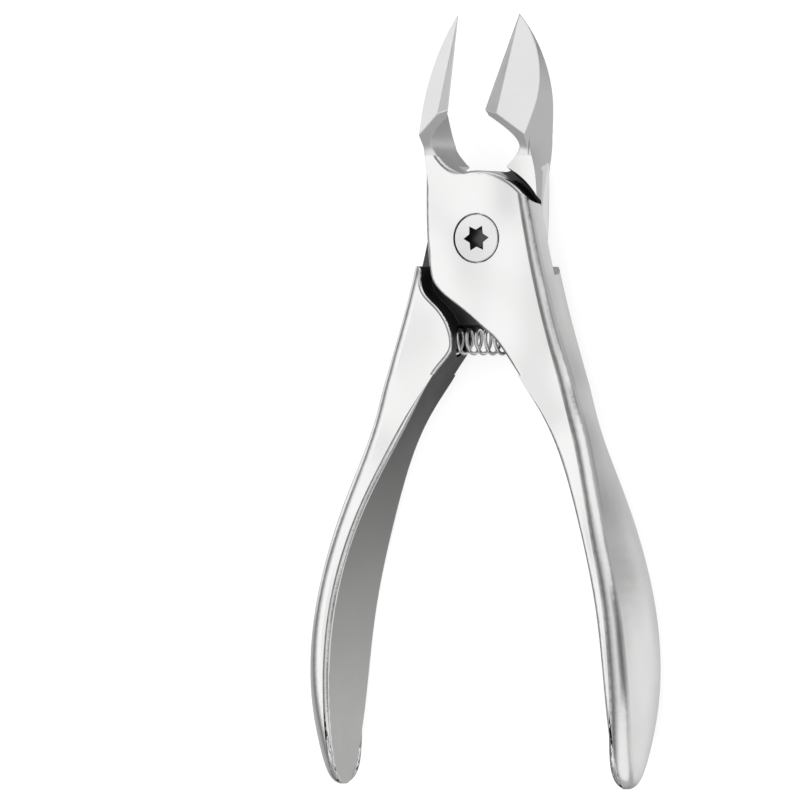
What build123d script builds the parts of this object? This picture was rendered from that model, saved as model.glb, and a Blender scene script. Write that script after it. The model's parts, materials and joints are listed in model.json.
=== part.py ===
from build123d import *
import math
import os

# Plier-type nail nipper, lying on its back, in millimetres. X runs across the jaws, Y from the
# handles to the jaw tips, Z up from the back to the front. Shapes are drawn about the pivot, with
# the lap plane of the joint at Z = 0, and are moved to the row's origin when they are written.

# Whole tool
JAW_TIP_Y = 36.2                     # jaw tips above the pivot
ABOVE_TIPS_Y = JAW_TIP_Y + 1         # trimming blocks for the jaws reach to here
HANDLE_END_Y = -88.2                 # handle ends below the pivot
HANDLE_HALF_DEPTH = 8.6              # deepest part of each handle
PIVOT_Y = -(JAW_TIP_Y + HANDLE_END_Y) / 2
PIVOT_Z = HANDLE_HALF_DEPTH

# Lap joint
PLATE = 4.4                          # thickness of each lever's half of the joint
LAP_GAP = 0.02                       # each half stands this far off the lap plane
LOBE_RADIUS = 10.9                   # rounded top of each half
LOBE_START_X = -2.4                  # where its arc starts beside the throat
LOBE_END_X = 9.9                     # where it meets the outer side of the handle
SEAT_RADIUS = 11.2                   # neck shoulder around the other half's lobe, at the lap plane
SEAT_FLARE = 1.4                     # how much wider that shoulder is at the face
BLANK = 10.0                         # half height of the rough blank
BEYOND = 30.0                        # how far trimming blocks reach past the tool
PLATE_ROUND = 0.7                    # rounded edge of each half's face
SHOULDER_ROUND = 0.5                 # rounded edge of the handle shoulder beside the other half
SOFT_TOP_Y = 13.3                    # the rounded edge ends where the jaw begins to thicken

# Pivot
SLEEVE_RADIUS = 2.5
SLEEVE_CLEARANCE = 0.03
HEAD_RADIUS = 3.85
HEAD_THICKNESS = 2.0
HEAD_CLEARANCE = 0.2                 # round the head in its counterbore
HEAD_CHAMFER = 0.12
UNDER_HEAD_GAP = 0.04
THREAD_RADIUS = 1.75
THREAD_LENGTH = 5.6
BORE_SPARE = 0.3                     # the nut's bore runs on past the end of the thread
STAR_POINT_RADIUS = 2.215            # six-point recess, 4.43 across its points
STAR_ROOT_RADIUS = 1.36
STAR_DEPTH = 1.7
STAR_TURN = 3.0

# Handle spring
SPRING_Y = -16.6
SPRING_OD = 4.5
WIRE = 0.6
SPRING_LENGTH = 14.4
SPRING_TURNS = 8
POCKET_RADIUS = 2.6
POCKET_START_X = -2.0                # the pocket's cutter starts out in the handle gap
POCKET_END_X = 7.3

# Outer side of the joint and handle, given by its outermost line
OUTER_ARC = 17.0                     # radius of the outer side across the handle
RIDGE_AT_TOP = 1.6                   # radius of the ridge round its outer side, at the joint's top
RIDGE_GROWTH = 0.016                 # what it gains for each millimetre towards the handle's end
RIDGE_SHARE = 0.64                   # most of the half depth that the ridge may take
INNER_ROUND = 0.8                    # rounded edges of the handle's inner face
INNER_ROUND_START = 0.1              # their radius at the crotch
INNER_ROUND_GROWTH = 0.08            # and what it gains for each millimetre below the crotch
INNER_ROUND_SHARE = 0.25             # most of the half depth that these edges may take
JOINT_INNER_X = -12.0                # the joint's sections reach inwards past the whole plate
CROTCH_Y = -22.0                     # where joint and handle meet
CROTCH_X = 7.5
CROTCH_OUTER_X = 16.6
JOINT_LINE = [(8.2, 12.0, PLATE), (10.75, -1.0, PLATE), (13.6, -12.3, PLATE),
              (CROTCH_OUTER_X, CROTCH_Y, PLATE)]
JOINT_ENDS = ((0.18, -1, 0), (0.309, -1, 0))  # direction of that line at its two ends
JOINT_STATIONS = 6
HANDLE_LINE = [(CROTCH_OUTER_X, CROTCH_Y, PLATE), (19.3, -31.0, 4.4), (23.9, -43.5, 7.0),
               (28.6, -60.5, HANDLE_HALF_DEPTH), (29.1, -74.5, 7.7), (27.5, -84.5, 4.9),
               (25.6, HANDLE_END_Y, 0.7)]
HANDLE_TIP_SLOPE = (-0.5, -0.3, -1)  # direction of that line where it ends
HANDLE_STATIONS = 14

# Outlines, all for the right-hand side; the levers mirror or turn them as they need
OUTER_JAW = [(8.45, -4.6), (9.1, 8.0), (9.35, 16.6), (9.95, 22.0), (9.2, 28.5), (5.4, JAW_TIP_Y)]
THROAT = [(3.2, 19.9), (6.15, 17.6), (7.75, 14.9), (6.6, 12.9), (5.3, 11.6)]
CHEEK_INNER_X = 7.8                  # the neck's outer side leans out towards the other half
CHEEK_WIDE = [(9.35, 16.6), (9.5, 14.2), (10.1, 11.8), (10.55, 8.7), (10.2, 1.0)]
CHEEK_NARROW = [(9.35, 16.6), (9.3, 14.2), (9.0, 11.8), (8.6, 8.7), (8.3, 1.0)]
PLATE_EDGE = [(-8.45, -4.6), (-7.1, -8.1), (-3.1, -11.2), (1.35, -14.7), (CROTCH_X, CROTCH_Y)]
SHOULDER_TOP_Y = -4.5
SHOULDER_CORNER = [(20.0, -17.0), (10.9, SHOULDER_TOP_Y)]
SHOULDER = [(10.6, SHOULDER_TOP_Y), (9.8, -7.0), (7.2, -10.8), (4.7, -14.4), (4.2, -17.4),
            (CROTCH_X, CROTCH_Y)]
INNER_HANDLE = [(CROTCH_X, CROTCH_Y), (14.0, -33.0), (20.0, -47.5), (23.4, -62.0), (24.5, -77.0),
                (24.7, HANDLE_END_Y)]
CROTCH_SLOPE = (0.57, -0.82)         # direction of every inner edge where the handle leaves the joint

# Jaw planes, each through a point and two directions
CUT_BASE = Vector(3.2, 19.9, 8.7)    # inner end of the cutting edge
CUT_TIP = Vector(5.4, JAW_TIP_Y, 0)
BEVEL_POINT = Vector(9.3, 16.6, 6.4)
BEVEL_ACROSS = Vector(0.709, 0, -0.61)
STRIP_ACROSS = Vector(0.872, 0, -0.184)
FLANK_DOWN = Vector(math.tan(math.radians(27)), 0, -1)
FLANK_RUNOUT = Vector(7.75, 14.9, -PLATE)
FLANK_END = Vector(0, 14.0, 0)       # the ground flank stops at this height
FLARE_POINT = Vector(9.3, 14.0, PLATE)  # where the flat front of the neck starts to thicken
FLARE_RUN = Vector(0.2202, 0.9755, 0)
FLARE_ANGLE = 38.3
FLARE_FILLET = 3.0
BACK_TAPER_Y = 17.0                  # the back of the jaw slopes from here to the tip
NECK_LOW_Y = 5.0                     # the neck reaches down to here beside the other half's lobe


def skin_section(outer_x, y, half_depth, inner_x=JOINT_INNER_X, inner_round=0.0):
    """Section across Y: flat front, back and inner faces, soft ridges and a round outer side."""
    ridge = min(RIDGE_AT_TOP + RIDGE_GROWTH * (JOINT_LINE[0][1] - y), RIDGE_SHARE * half_depth)
    centre_x = outer_x - OUTER_ARC
    ridge_z = half_depth - ridge
    ridge_x = centre_x + math.sqrt((OUTER_ARC - ridge) ** 2 - ridge_z ** 2)
    turn = math.atan2(ridge_z, ridge_x - centre_x)
    half_turn = (turn + math.pi / 2) / 2
    corner = inner_round * (1 - math.sqrt(0.5))

    def at(x, z):
        return Vector(x, y, z)

    def outer_ridge(side):
        start = at(ridge_x, side * half_depth)
        middle_z = ridge_z + ridge * math.sin(half_turn)
        middle = at(ridge_x + ridge * math.cos(half_turn), side * middle_z)
        end = at(centre_x + OUTER_ARC * math.cos(turn), side * OUTER_ARC * math.sin(turn))
        return [start, middle, end]

    def inner_edge(side):
        return [at(inner_x, side * (half_depth - inner_round)),
                at(inner_x + corner, side * (half_depth - corner)),
                at(inner_x + inner_round, side * half_depth)]

    front_outer, back_outer = outer_ridge(1), outer_ridge(-1)
    front_inner, back_inner = inner_edge(1), inner_edge(-1)
    edges = [Line(back_inner[0], front_inner[0]), Line(front_inner[2], front_outer[0]),
             ThreePointArc(*front_outer), ThreePointArc(front_outer[2], at(outer_x, 0), back_outer[2]),
             ThreePointArc(*reversed(back_outer)), Line(back_outer[0], back_inner[2])]
    if inner_round > 0:
        edges += [ThreePointArc(*front_inner), ThreePointArc(*reversed(back_inner))]
    return Face(Wire(edges))


def joint_skin():
    """Outer side of the joint, down to the crotch."""
    outer_line = Spline(*JOINT_LINE, tangents=JOINT_ENDS)
    sections = []
    for step in range(JOINT_STATIONS + 1):
        outer_x, y, half_depth = outer_line @ (step / JOINT_STATIONS)
        sections.append(skin_section(outer_x, y, half_depth))
    return loft(sections)


def handle():
    """Right handle from the crotch of the joint to its end."""
    outer_line = Spline(*HANDLE_LINE, tangents=(JOINT_ENDS[1], HANDLE_TIP_SLOPE))
    inner_line = Spline(*INNER_HANDLE, tangents=(CROTCH_SLOPE, (0, -1)))
    sections = []
    for step in range(HANDLE_STATIONS + 1):
        outer_x, y, half_depth = outer_line @ (step / HANDLE_STATIONS)
        low, high = 0.0, 1.0
        while high - low > 1e-9:
            middle = (low + high) / 2
            low, high = (middle, high) if (inner_line @ middle).Y > y else (low, middle)
        inner_x = (inner_line @ low).X
        grown = INNER_ROUND_START + INNER_ROUND_GROWTH * (CROTCH_Y - y)
        inner_round = min(INNER_ROUND, grown, INNER_ROUND_SHARE * half_depth)
        sections.append(skin_section(outer_x, y, half_depth, inner_x, inner_round))
    return loft(sections)


def flat(*edges):
    return make_face(Curve() + list(edges))


def slab(face, low, high):
    return extrude(face.moved(Location((0, 0, low))), amount=high - low, dir=(0, 0, 1))


def soften(face, radius):
    """Rounds the curved edges of a face and leaves its straight ones, where it is joined on."""
    return fillet(face.edges().filter_by(GeomType.LINE, reverse=True), radius)


def half_space(point, normal):
    """A large block on the outer side of a plane."""
    size = 2 * BEYOND
    block = Box(size, size, size, align=(Align.CENTER, Align.CENTER, Align.MIN))
    return Plane(origin=point, z_dir=normal) * block


def between(low_y, high_y):
    """A block that keeps what lies between two heights along Y."""
    return Pos(0, (low_y + high_y) / 2, 0) * Box(2 * BEYOND, high_y - low_y, 2 * BEYOND)


def mirrored(points):
    return [(-x, y) for x, y in points]


def cheek():
    """Left side of the neck, which widens from the front face to the back."""
    ends = []
    for outline, z in ((CHEEK_WIDE, -PLATE), (CHEEK_NARROW, PLATE)):
        outer = mirrored(outline)
        low_inner, high_inner = (-CHEEK_INNER_X, outer[-1][1]), (-CHEEK_INNER_X, outer[0][1])
        side = Spline(*outer)
        end = flat(side, Polyline(outer[-1], low_inner, high_inner, outer[0]))
        ends.append(Pos(0, 0, z) * end)
    return loft(ends, ruled=True)


def lever_blank():
    """Left jaw, front half of the joint and right handle, with a rough jaw."""
    lobe_start = (LOBE_START_X, math.sqrt(LOBE_RADIUS ** 2 - LOBE_START_X ** 2))
    lobe_end = (LOBE_END_X, math.sqrt(LOBE_RADIUS ** 2 - LOBE_END_X ** 2))
    outer_jaw = mirrored(OUTER_JAW)
    throat = mirrored(THROAT)
    far_crotch = (SHOULDER_CORNER[0][0], CROTCH_Y)
    crotch = (CROTCH_X, CROTCH_Y)
    front_outline = flat(
        Spline(*outer_jaw),
        Line(outer_jaw[-1], throat[0]),
        Spline(*throat, lobe_start),
        ThreePointArc(lobe_start, (0, LOBE_RADIUS), lobe_end),
        Polyline(lobe_end, far_crotch, crotch),
        Spline(*PLATE_EDGE, tangents=((0, -1), CROTCH_SLOPE)),
    )
    rear_outline = flat(
        Spline(*SHOULDER, tangents=((-1, 0), CROTCH_SLOPE)),
        Polyline(crotch, far_crotch, *SHOULDER_CORNER, SHOULDER[0]),
    )
    plate = slab(front_outline, LAP_GAP, PLATE) & between(CROTCH_Y, SOFT_TOP_Y)
    plate = soften(plate.faces().sort_by(Axis.Z)[-1], PLATE_ROUND)
    shoulder = slab(rear_outline, -PLATE, LAP_GAP)
    shoulder = soften(shoulder.faces().sort_by(Axis.Z)[0], SHOULDER_ROUND)
    jaw = slab(front_outline, -BLANK, BLANK) & between(SOFT_TOP_Y, ABOVE_TIPS_Y)

    neck = slab(front_outline, -PLATE, LAP_GAP) & between(NECK_LOW_Y, ABOVE_TIPS_Y)
    neck -= Pos(throat[-1][0] + BEYOND, 0, 0) * between(-SOFT_TOP_Y, SOFT_TOP_Y)
    seat_top = SEAT_RADIUS + SEAT_FLARE / PLATE * BLANK
    seat = Pos(0, 0, -BLANK / 2) * Cone(seat_top, SEAT_RADIUS, BLANK)

    jaw_room = between(JOINT_LINE[0][1], ABOVE_TIPS_Y)
    joint = (plate + shoulder + (jaw + neck + cheek() - seat)) & (joint_skin() + jaw_room)
    return joint + handle()


def jaw_cutters():
    """What is ground away from the rough right jaw, whose crest faces the front."""
    edge = CUT_TIP - CUT_BASE
    bevel = half_space(BEVEL_POINT, BEVEL_ACROSS.cross(CUT_TIP - BEVEL_POINT))
    strip = half_space(CUT_BASE, STRIP_ACROSS.cross(edge))
    flank = half_space(CUT_BASE, edge.cross(FLANK_DOWN))
    flank &= half_space(CUT_BASE, (CUT_BASE - FLANK_RUNOUT).cross(FLANK_DOWN))
    flank &= half_space(FLANK_END, Vector(0, 1, 0))
    rise_x = 2 * BLANK * math.cos(math.radians(FLARE_ANGLE))
    rise_y = 2 * BLANK * math.sin(math.radians(FLARE_ANGLE))
    flare_outline = Polyline((-BEYOND, 0), (0, 0), (rise_x, rise_y), (rise_x, BEYOND), (-BEYOND, BEYOND),
                             close=True)
    flare_face = fillet(make_face(flare_outline).vertices().sort_by_distance((0, 0))[0], FLARE_FILLET)
    across = Plane(origin=FLARE_POINT, x_dir=FLARE_RUN, z_dir=FLARE_RUN.cross(Vector(0, 0, 1)))
    flare = extrude(across * flare_face, amount=BEYOND, both=True)
    back = half_space((0, 0, -PLATE), Vector(0, 0, -1)) & between(NECK_LOW_Y, ABOVE_TIPS_Y)
    taper = half_space((0, BACK_TAPER_Y, -PLATE), Vector(0, PLATE, BACK_TAPER_Y - JAW_TIP_Y))
    return [bevel, strip, flank, flare, back, taper]


def pivot_hole(radius, head_floor):
    hole = Cylinder(radius, 2 * BLANK)
    counterbore = Cylinder(HEAD_RADIUS + HEAD_CLEARANCE, BLANK)
    return hole + Pos(0, 0, head_floor + BLANK / 2) * counterbore


def spring_pocket():
    pocket = Cylinder(POCKET_RADIUS, POCKET_END_X - POCKET_START_X)
    return Pos((POCKET_START_X + POCKET_END_X) / 2, SPRING_Y, 0) * Rot(0, 90, 0) * pocket


def front_lever():
    lever = lever_blank()
    for cutter in jaw_cutters():
        lever -= mirror(cutter, Plane.YZ)
    lever -= pivot_hole(SLEEVE_RADIUS + SLEEVE_CLEARANCE, PLATE - HEAD_THICKNESS - UNDER_HEAD_GAP)
    return lever - spring_pocket()


def rear_lever():
    lever = lever_blank() - pivot_hole(SLEEVE_RADIUS, PLATE - HEAD_THICKNESS) - spring_pocket()
    lever = Rot(0, 180, 0) * lever
    for cutter in jaw_cutters():
        lever -= cutter
    return lever


def pivot_screw():
    """Round flush head with a six-point recess, and the thread at its pitch diameter."""
    thread_top = PLATE - HEAD_THICKNESS
    head = Pos(0, 0, PLATE - HEAD_THICKNESS / 2) * Cylinder(HEAD_RADIUS, HEAD_THICKNESS)
    thread = Pos(0, 0, thread_top - THREAD_LENGTH / 2) * Cylinder(THREAD_RADIUS, THREAD_LENGTH)
    points = []
    for step in range(12):
        radius = STAR_POINT_RADIUS if step % 2 == 0 else STAR_ROOT_RADIUS
        turn = math.radians(30 * step + STAR_TURN)
        points.append((radius * math.cos(turn), radius * math.sin(turn)))
    star = slab(make_face(Polyline(*points, close=True)), PLATE - STAR_DEPTH, BLANK)
    rim = head.edges().filter_by(GeomType.CIRCLE).sort_by(Axis.Z)[-1]
    return chamfer(rim, HEAD_CHAMFER) + thread - star


def pivot_nut():
    """Sleeve that both levers turn on, with a round head flush in the back."""
    sleeve_length = 2 * (PLATE - HEAD_THICKNESS)
    head = Pos(0, 0, -PLATE + HEAD_THICKNESS / 2) * Cylinder(HEAD_RADIUS, HEAD_THICKNESS)
    sleeve = Cylinder(SLEEVE_RADIUS, sleeve_length)
    bore_length = THREAD_LENGTH + BORE_SPARE
    bore = Pos(0, 0, PLATE - HEAD_THICKNESS - bore_length / 2) * Cylinder(THREAD_RADIUS, bore_length)
    rim = head.edges().filter_by(GeomType.CIRCLE).sort_by(Axis.Z)[0]
    return chamfer(rim, HEAD_CHAMFER) + sleeve - bore


def handle_spring():
    """Open compression spring, seated in a blind pocket in each handle."""
    coil_length = SPRING_LENGTH - WIRE
    coil = Helix(pitch=coil_length / SPRING_TURNS, height=coil_length, radius=(SPRING_OD - WIRE) / 2)
    wire = sweep(Plane(origin=coil @ 0, z_dir=coil % 0) * Circle(WIRE / 2), path=coil, is_frenet=True)
    return Pos(-coil_length / 2, SPRING_Y, 0) * Rot(0, 90, 0) * wire


NODES = {
    "front_lever": front_lever,
    "rear_lever": rear_lever,
    "pivot_screw": pivot_screw,
    "pivot_nut": pivot_nut,
    "handle_spring": handle_spring,
}

os.makedirs("parts", exist_ok=True)
for name, make in NODES.items():
    export_step(Pos(0, PIVOT_Y, PIVOT_Z) * make(), f"parts/{name}.step")
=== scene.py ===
import json
import math

import bmesh
import bpy
from mathutils import Matrix, Vector


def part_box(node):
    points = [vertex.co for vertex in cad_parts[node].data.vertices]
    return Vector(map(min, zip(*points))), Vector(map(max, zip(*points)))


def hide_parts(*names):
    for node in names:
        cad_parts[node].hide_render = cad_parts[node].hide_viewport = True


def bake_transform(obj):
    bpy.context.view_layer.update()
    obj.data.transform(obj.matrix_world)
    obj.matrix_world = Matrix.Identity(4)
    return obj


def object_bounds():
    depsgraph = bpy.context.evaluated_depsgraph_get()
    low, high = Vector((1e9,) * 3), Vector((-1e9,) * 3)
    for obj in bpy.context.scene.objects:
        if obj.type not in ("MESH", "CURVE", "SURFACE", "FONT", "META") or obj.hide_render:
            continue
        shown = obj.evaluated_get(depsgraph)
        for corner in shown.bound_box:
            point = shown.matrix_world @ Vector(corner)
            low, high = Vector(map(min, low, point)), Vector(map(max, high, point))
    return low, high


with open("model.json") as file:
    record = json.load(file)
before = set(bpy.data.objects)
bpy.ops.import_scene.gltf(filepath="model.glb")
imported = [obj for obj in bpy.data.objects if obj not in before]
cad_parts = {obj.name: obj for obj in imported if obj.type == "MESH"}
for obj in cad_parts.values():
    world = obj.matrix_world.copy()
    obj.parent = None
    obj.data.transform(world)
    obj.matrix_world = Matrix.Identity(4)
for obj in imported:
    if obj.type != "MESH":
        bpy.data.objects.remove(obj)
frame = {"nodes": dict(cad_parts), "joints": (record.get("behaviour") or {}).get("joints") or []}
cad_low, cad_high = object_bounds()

MM = 0.001
PIVOT = Vector(frame["joints"][0]["pos_m"])
MIDDLE = (Vector(cad_low) + Vector(cad_high)) / 2


# ---------------------------------------------------------------- node helpers

class Nodes:
    """Short calls for building a node tree; each one but feed returns an output of its new node."""

    def __init__(self, tree):
        self.tree = tree

    def feed(self, node, inputs):
        """Links or sets each of a node's inputs."""
        for key, value in inputs.items():
            if isinstance(value, bpy.types.NodeSocket):
                self.tree.links.new(value, node.inputs[key])
            else:
                node.inputs[key].default_value = value

    def add(self, kind, inputs=None, output=0, **settings):
        node = self.tree.nodes.new(kind)
        for name, value in settings.items():
            setattr(node, name, value)
        self.feed(node, inputs or {})
        return node.outputs[output] if node.outputs else None

    def math(self, operation, a, b):
        return self.add("ShaderNodeMath", {0: a, 1: b}, operation=operation)

    def map_range(self, value, low, high):
        """0 at low and 1 at high."""
        return self.add("ShaderNodeMapRange", {"Value": value, "From Min": low, "From Max": high})

    def split(self, vector):
        """The X, Y and Z of a vector."""
        node = self.tree.nodes.new("ShaderNodeSeparateXYZ")
        self.feed(node, {0: vector})
        return node.outputs

    def smoothstep(self, value, low, high):
        """0 below low and 1 above high, or the other way round where low is above high."""
        flip = low > high
        ends = (1.0, 0.0) if flip else (0.0, 1.0)
        return self.add("ShaderNodeMapRange", {"Value": value, "From Min": min(low, high),
                        "From Max": max(low, high), "To Min": ends[0], "To Max": ends[1]},
                        interpolation_type="SMOOTHSTEP")

    def ramp(self, value, stops):
        """Soft grey ramp through (position, brightness) stops."""
        node = self.tree.nodes.new("ShaderNodeValToRGB")
        ramp = node.color_ramp
        ramp.interpolation = "EASE"
        while len(ramp.elements) < len(stops):
            ramp.elements.new(0.5)
        for element, (position, grey) in zip(ramp.elements, stops):
            element.position = position
            element.color = (grey, grey, grey, 1.0)
        self.feed(node, {0: value})
        return node.outputs[0]

    def mix(self, factor, a, b):
        return self.add("ShaderNodeMix", {0: factor, 2: a, 3: b}, data_type="FLOAT")

    def mix_colour(self, factor, a, b):
        return self.add("ShaderNodeMix", {0: factor, 6: a, 7: b}, output=2, data_type="RGBA")


# ---------------------------------------------------------------- camera, floor, studio

def make_camera():
    """Looks down on the tool's front from +X, with the handles towards the bottom of the frame."""
    tilt = math.radians(25.0)
    roll = math.radians(0.35)
    distance = 2.0
    frame_width = 128.8 * MM         # what the frame spans at the pivot
    sensor = 36.0
    across = Vector((math.cos(tilt), 0, -math.sin(tilt)))
    towards = Vector((math.sin(tilt), 0, math.cos(tilt)))
    along = Vector((0, 1, 0))
    right = across * math.cos(roll) + along * math.sin(roll)
    up = along * math.cos(roll) - across * math.sin(roll)
    pivot_right, pivot_up = 14.1 * MM, 26.0 * MM    # from the middle of the frame to the pivot
    data = bpy.data.cameras.new("camera")
    data.sensor_width = sensor
    data.lens = sensor * distance / frame_width
    data.clip_start = 0.01
    camera = bpy.data.objects.new("camera", data)
    bpy.context.scene.collection.objects.link(camera)
    camera.location = PIVOT - right * pivot_right - up * pivot_up + towards * distance
    camera.rotation_euler = Matrix((right, up, towards)).transposed().to_euler()
    bpy.context.scene.camera = camera


def make_floor():
    """A white sheet just under the tool, which glows enough to come out white."""
    mesh = bpy.data.meshes.new("floor")
    half = 1.5
    level = cad_low[2] - 0.02 * MM
    corners = [(-half, -half, level), (half, -half, level), (half, half, level), (-half, half, level)]
    mesh.from_pydata(corners, [], [(0, 1, 2, 3)])
    floor = bpy.data.objects.new("floor", mesh)
    bpy.context.scene.collection.objects.link(floor)
    material = bpy.data.materials.new("floor_white")
    material.use_nodes = True
    shader = material.node_tree.nodes["Principled BSDF"]
    shader.inputs["Base Color"].default_value = (0.4, 0.4, 0.4, 1)
    shader.inputs["Roughness"].default_value = 0.9
    shader.inputs["Specular IOR Level"].default_value = 0.1
    shader.inputs["Emission Color"].default_value = (1, 1, 1, 1)
    shader.inputs["Emission Strength"].default_value = 0.72
    mesh.materials.append(material)
    floor.visible_glossy = False


def make_soft_light(name, location, size, power):
    """A round light that faces the tool and leaves no reflection of itself."""
    data = bpy.data.lights.new(name, "AREA")
    data.shape = "DISK"
    data.size = size
    data.energy = power
    light = bpy.data.objects.new(name, data)
    bpy.context.scene.collection.objects.link(light)
    light.location = location
    light.rotation_euler = (MIDDLE - Vector(location)).to_track_quat("-Z", "Y").to_euler()
    light.visible_glossy = False


# brightness of the studio round the Y axis: degrees from the zenith towards +X
AROUND = [(-180, 0.6), (-155, 0.52), (-125, 0.5), (-100, 0.4), (-80, 0.16), (-64, 0.5), (-48, 1.0),
          (-24, 1.06), (-18, 0.8), (-12, 0.34), (-5, 0.16), (4, 0.15), (14, 0.33), (26, 0.62), (38, 0.78),
          (48, 0.6), (58, 0.25), (68, 0.13), (80, 0.13), (92, 0.33), (106, 0.66), (120, 0.8), (150, 0.8),
          (180, 0.6)]

# how much of it is left below the horizon, along Y from -1 to 1, and the Z where that is in full
ALONG = [(-0.5, 0.5), (-0.3, 0.9), (-0.1, 1.0), (0.08, 1.0), (0.2, 0.86), (0.3, 0.6), (0.45, 0.4)]
FULLY_BELOW = -0.45

# soft boxes and flags: direction, degrees out to where it fades and to where it ends, brightness
BOXES = [((0, 1, 0), 25, 45, 0.75),
         ((0, -1, 0), 20, 40, 0.45),
         ((-0.40, -0.87, 0.22), 10, 34, 0.3),
         ((0.68, -0.68, 0.26), 20, 36, 0.9),
         ((0.68, 0.64, 0.37), 14, 28, 0.95),
         ((-0.86, 0.38, -0.34), 12, 22, 0.98),
         ((-0.10, 0.79, 0.61), 8, 18, 0.32),
         ((-0.685, 0.648, 0.336), 5, 13, 0.45)]

BACKDROP = 0.97          # brightness of the studio where the camera sees it directly
KEY_OFFSET = Vector((0.1, 0.1, 0.8))
KEY_SIZE = 1.2
KEY_POWER = 6.0


def make_studio():
    """Soft boxes and black flags round the tool, which is what polished steel shows."""
    world = bpy.data.worlds.new("studio")
    bpy.context.scene.world = world
    world.use_nodes = True
    tree = world.node_tree
    tree.nodes.clear()
    n = Nodes(tree)
    direction = n.add("ShaderNodeTexCoord", output=0)
    x, y, z = n.split(direction)

    turn = n.map_range(n.math("ARCTAN2", x, z), -math.pi, math.pi)
    level = n.ramp(turn, [((degrees + 180) / 360, grey) for degrees, grey in AROUND])
    along = n.ramp(n.map_range(y, -1.0, 1.0), [((height + 1) / 2, grey) for height, grey in ALONG])
    below = n.smoothstep(z, 0.0, FULLY_BELOW)
    level = n.math("MULTIPLY", level, n.mix(below, 1.0, along))

    for axis, full, end, grey in BOXES:
        dot = n.add("ShaderNodeVectorMath", {0: direction, 1: Vector(axis).normalized()}, output=1,
                    operation="DOT_PRODUCT")
        inside = n.smoothstep(dot, math.cos(math.radians(end)), math.cos(math.radians(full)))
        level = n.mix(inside, level, grey)

    seen = n.add("ShaderNodeLightPath", output=0)
    level = n.mix(seen, level, BACKDROP)
    background = n.add("ShaderNodeBackground", {"Color": level, "Strength": 1.0})
    n.add("ShaderNodeOutputWorld", {"Surface": background})
    make_soft_light("key_disk", MIDDLE + KEY_OFFSET, KEY_SIZE, KEY_POWER)
    bpy.context.scene.view_settings.view_transform = "Standard"


# ---------------------------------------------------------------- metals

GRAIN_SIZE = 0.12 * MM
GRAIN_DEPTH = 0.01 * MM
CLOUD_SIZE = 5 * MM      # patches of slightly duller polish
WAVE_SIZE = 11 * MM      # slow waves that polishing leaves in a flat face
WAVE_DEPTH = 0.6 * MM


def steel(name, colour, roughness, grain_axis=(1, 1, 1), grain=0.05, mottle=0.02, edge=0.25 * MM,
          painted_shade=None):
    """Ground and polished steel: fine grain along one direction, soft mottling and waves, eased edges.

    The last argument paints shade along Y as (share, start, end): the share of the colour that is left at
    start, and grows to all of it at end.
    """
    material = bpy.data.materials.new(name)
    material.use_nodes = True
    tree = material.node_tree
    n = Nodes(tree)
    shader = tree.nodes["Principled BSDF"]
    shader.inputs["Metallic"].default_value = 1.0
    place = n.add("ShaderNodeTexCoord", output=3)

    stretched = n.add("ShaderNodeMapping", {"Vector": place, "Scale": Vector(grain_axis) / GRAIN_SIZE})
    fine = n.add("ShaderNodeTexNoise", {"Vector": stretched, "Scale": 1.0, "Detail": 3.0, "Roughness": 0.6})
    cloud = n.add("ShaderNodeTexNoise", {"Vector": place, "Scale": 1 / CLOUD_SIZE, "Detail": 4.0,
                                         "Roughness": 0.55})
    shade = n.smoothstep(cloud, 0.3, 0.72)
    dark = [channel * (1 - mottle * 2) for channel in colour]
    tint = n.mix_colour(shade, (*dark, 1.0), (*colour, 1.0))
    # painted shade: darkens the colour towards start along Y
    if painted_shade:
        share, start, end = painted_shade
        shaded_colour = [channel * share for channel in colour]
        tint = n.mix_colour(n.map_range(n.split(place)[1], start, end), (*shaded_colour, 1.0), tint)
    tree.links.new(tint, shader.inputs["Base Color"])
    polish = n.math("ADD", n.math("MULTIPLY", fine, grain * 2), roughness - grain)
    polish = n.math("ADD", polish, n.math("MULTIPLY", shade, mottle * 1.5))
    tree.links.new(polish, shader.inputs["Roughness"])

    eased = n.add("ShaderNodeBevel", {"Radius": edge}, samples=8)
    waves = n.add("ShaderNodeTexNoise", {"Vector": place, "Scale": 1 / WAVE_SIZE, "Detail": 0.0})
    wavy = n.add("ShaderNodeBump", {"Height": waves, "Strength": 1.0, "Distance": WAVE_DEPTH,
                                    "Normal": eased})
    bump = n.add("ShaderNodeBump", {"Height": fine, "Strength": grain * 2, "Distance": GRAIN_DEPTH,
                                    "Normal": wavy})
    tree.links.new(bump, shader.inputs["Normal"])
    return material


SATIN, GROUND, SIDE, MATT_AND_SHADE, THROAT, PAINTED_RECESS_SHADE = range(6)

# where the levers' finishes and painted shade lie, in millimetres about the pivot
SPRING_Y = -16.6
POCKET_RADIUS = 2.7
POCKET_REACH_X = 7.4
LAP_SKIN = 0.1                   # a face no further than this from the lap plane lies on it
FAR_SKIN = -0.05                 # a face below this is on the other lever's half of the joint
SEAT_NEAR, SEAT_FAR = 10.5, 13.6   # the neck's hollow seat round the other lever's lobe
SEAT_LOW_Y = 3
SHOULDER_LOW_Y, SHOULDER_HIGH_Y = -18, -4
SHOULDER_REACH_X = 10.2
THROAT_LOW_Y = 10.9
THROAT_REACH_X = 8.4
NECK_LOW_Y = 1                   # the darker outer side starts here on the neck
JAW_SIDE_LOW_Y = 12              # and here on the plate
JAW_LOW_Y = 13.2
HANDLE_HIGH_Y = -17.5


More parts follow.
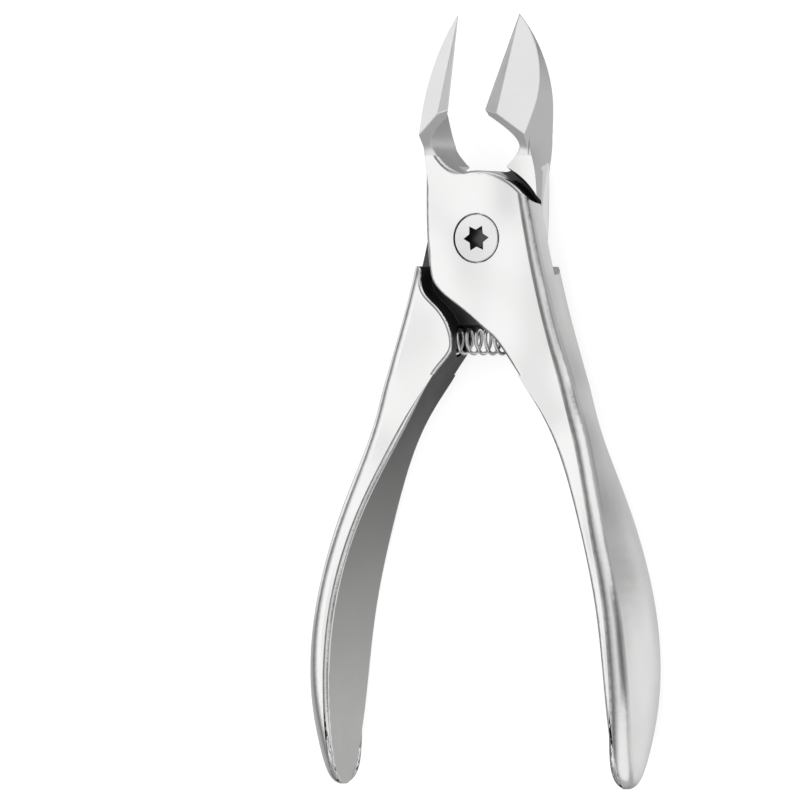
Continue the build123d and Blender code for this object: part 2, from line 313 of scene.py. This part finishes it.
def lever_finish_and_shade(centre, normal, side):
    """Which finish a face of a lever has, or the painted shade of the joint's recesses.

    centre is in millimetres about the pivot; side is 1 on the front lever and -1 on the rear one.
    """
    level = centre.z * side
    reach = math.hypot(centre.x, centre.y)
    towards_pivot = -(normal.x * centre.x + normal.y * centre.y) / reach
    tilt = abs(normal.z)
    in_pocket = math.hypot(centre.y - SPRING_Y, centre.z) < POCKET_RADIUS and abs(centre.x) < POCKET_REACH_X
    on_lap = tilt > 0.99 and abs(centre.z) < LAP_SKIN
    on_seat = level < FAR_SKIN and towards_pivot > 0.75 and SEAT_NEAR < reach < SEAT_FAR
    on_seat = on_seat and centre.y > SEAT_LOW_Y
    on_shoulder = level < FAR_SKIN and tilt < 0.5 and normal.x * side < 0.3
    on_shoulder = on_shoulder and SHOULDER_LOW_Y < centre.y < SHOULDER_HIGH_Y
    on_shoulder = on_shoulder and abs(centre.x) < SHOULDER_REACH_X
    # faces in the joint's recesses get near-black painted shade
    if on_lap or in_pocket or on_seat or on_shoulder:
        return PAINTED_RECESS_SHADE
    inwards = normal.x * centre.x < 0.3 * reach
    if centre.y > THROAT_LOW_Y and tilt < 0.4 and abs(centre.x) < THROAT_REACH_X and inwards:
        return THROAT
    outwards = normal.x * centre.x > 0
    if centre.y > NECK_LOW_Y and tilt < 0.3 and outwards and (level < 0 or centre.y > JAW_SIDE_LOW_Y):
        return SIDE
    if centre.y > JAW_LOW_Y:
        return GROUND
    if centre.y < HANDLE_HIGH_Y and normal.x * side < -0.3 and tilt < 0.12:
        return MATT_AND_SHADE
    return SATIN


def dress(mesh, materials, choose_material):
    """Gives a mesh its materials, finishes and painted shade, and each face the one whose number the
    chooser gives.
    """
    mesh.materials.clear()
    for material in materials:
        mesh.materials.append(material)
    for polygon in mesh.polygons:
        polygon.use_smooth = True
        polygon.material_index = choose_material((polygon.center - PIVOT) / MM, polygon.normal)


def dress_levers():
    """Satin bodies, ground jaws, matt inner handle faces darkened towards the joint by painted shade, and
    painted shade in the joint's recesses.
    """
    lengthwise = (1, 0.12, 1)
    # painted shade on the matt inner handle faces: darkest 25 mm below the pivot, fading out by 78 mm
    shade_start, shade_end = PIVOT.y - 25 * MM, PIVOT.y - 78 * MM
    finishes_and_shades = {
        SATIN: steel("satin_steel", (0.93, 0.93, 0.925), 0.2, edge=0.1 * MM),
        GROUND: steel("ground_steel", (0.95, 0.95, 0.95), 0.34, grain_axis=lengthwise, grain=0.08),
        SIDE: steel("jaw_side_steel", (0.62, 0.62, 0.62), 0.34, grain_axis=lengthwise),
        MATT_AND_SHADE: steel("matt_steel_and_painted_shade", (0.6, 0.6, 0.59), 0.38, grain_axis=(1, 0.15, 1), mottle=0.04,
                    painted_shade=(0.17, shade_start, shade_end)),
        THROAT: steel("throat_steel", (0.75, 0.75, 0.75), 0.52),
        # painted shade: near-black steel for the recesses of the joint
        PAINTED_RECESS_SHADE: steel("joint_recess_painted_shade", (0.1, 0.1, 0.1), 0.42),
    }
    materials = [finishes_and_shades[number] for number in sorted(finishes_and_shades)]
    for name, side in (("front_lever", 1), ("rear_lever", -1)):
        dress(frame["nodes"][name].data, materials,
              lambda centre, normal, side=side: lever_finish_and_shade(centre, normal, side))


def dress_pivot():
    """Fine satin faces, and painted shade in the screw's drive recess."""
    materials = [steel("pivot_steel", (0.9, 0.9, 0.905), 0.24, edge=0.1 * MM),
                 steel("drive_recess_painted_shade", (0.13, 0.13, 0.13), 0.4, edge=0.05 * MM)]
    below_face = (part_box("pivot_screw")[1].z - PIVOT.z) / MM - 0.05
    recess_radius = 2.3

    # faces inside the drive recess get near-black painted shade
    def screw_finish_and_shade(centre, normal):
        return 1 if centre.z < below_face and math.hypot(centre.x, centre.y) < recess_radius else 0

    dress(frame["nodes"]["pivot_screw"].data, materials, screw_finish_and_shade)
    dress(frame["nodes"]["pivot_nut"].data, materials, lambda centre, normal: 0)


# ---------------------------------------------------------------- spring

def tube(name, path, radius, sides=14):
    """Round wire along a list of points, closed flat at both ends."""
    mesh = bpy.data.meshes.new(name)
    shape = bmesh.new()
    rings = []
    across = Vector((1, 0, 0))
    for index, point in enumerate(path):
        ahead = path[min(index + 1, len(path) - 1)] - path[max(index - 1, 0)]
        ahead.normalize()
        across = (across - ahead * across.dot(ahead)).normalized()
        other = ahead.cross(across)
        ring = []
        for side in range(sides):
            turn = 2 * math.pi * side / sides
            outwards = across * math.cos(turn) + other * math.sin(turn)
            ring.append(shape.verts.new(point + radius * outwards))
        rings.append(ring)
    for one, two in zip(rings, rings[1:]):
        for side in range(sides):
            after = (side + 1) % sides
            shape.faces.new((one[side], one[after], two[after], two[side]))
    shape.faces.new(reversed(rings[0]))
    shape.faces.new(rings[-1])
    bmesh.ops.recalc_face_normals(shape, faces=shape.faces)
    shape.to_mesh(mesh)
    shape.free()
    for polygon in mesh.polygons:
        polygon.use_smooth = len(polygon.vertices) == 4
    piece = bpy.data.objects.new(name, mesh)
    bpy.context.scene.collection.objects.link(piece)
    return piece


def make_spring():
    """Compression spring with closed end turns, seated in the two handle pockets."""
    low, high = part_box("handle_spring")
    centre = (low + high) / 2
    wire_radius = 0.3 * MM
    coil_radius = (high.z - low.z) / 2 - wire_radius
    open_turns, closed_turns = 7.5, 1.0
    turns = open_turns + 2 * closed_turns
    closed_pitch = 2.05 * wire_radius
    length = high.x - low.x - 2 * wire_radius
    open_pitch = (length - 2 * closed_turns * closed_pitch) / open_turns
    steps = 36                       # along each turn
    start_angle = 0.6
    easing = 0.5                     # turns over which the pitch changes
    path = []
    along = low.x + wire_radius
    for step in range(int(turns * steps) + 1):
        done = step / steps
        angle = 2 * math.pi * done + start_angle
        path.append(Vector((along, centre.y + coil_radius * math.cos(angle),
                            centre.z + coil_radius * math.sin(angle))))
        inside = min(done, turns - done) - closed_turns
        ease = min(max(inside / easing + 0.5, 0.0), 1.0)
        along += (closed_pitch + (open_pitch - closed_pitch) * ease) / steps
    spring = tube("spring_coil", path, wire_radius)
    spring.data.materials.append(steel("spring_wire", (0.85, 0.85, 0.86), 0.14, grain=0.03, edge=0.02 * MM))
    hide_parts("handle_spring")
    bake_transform(spring)


make_camera()
make_floor()
make_studio()
dress_levers()
dress_pivot()
make_spring()

bpy.context.view_layer.update()
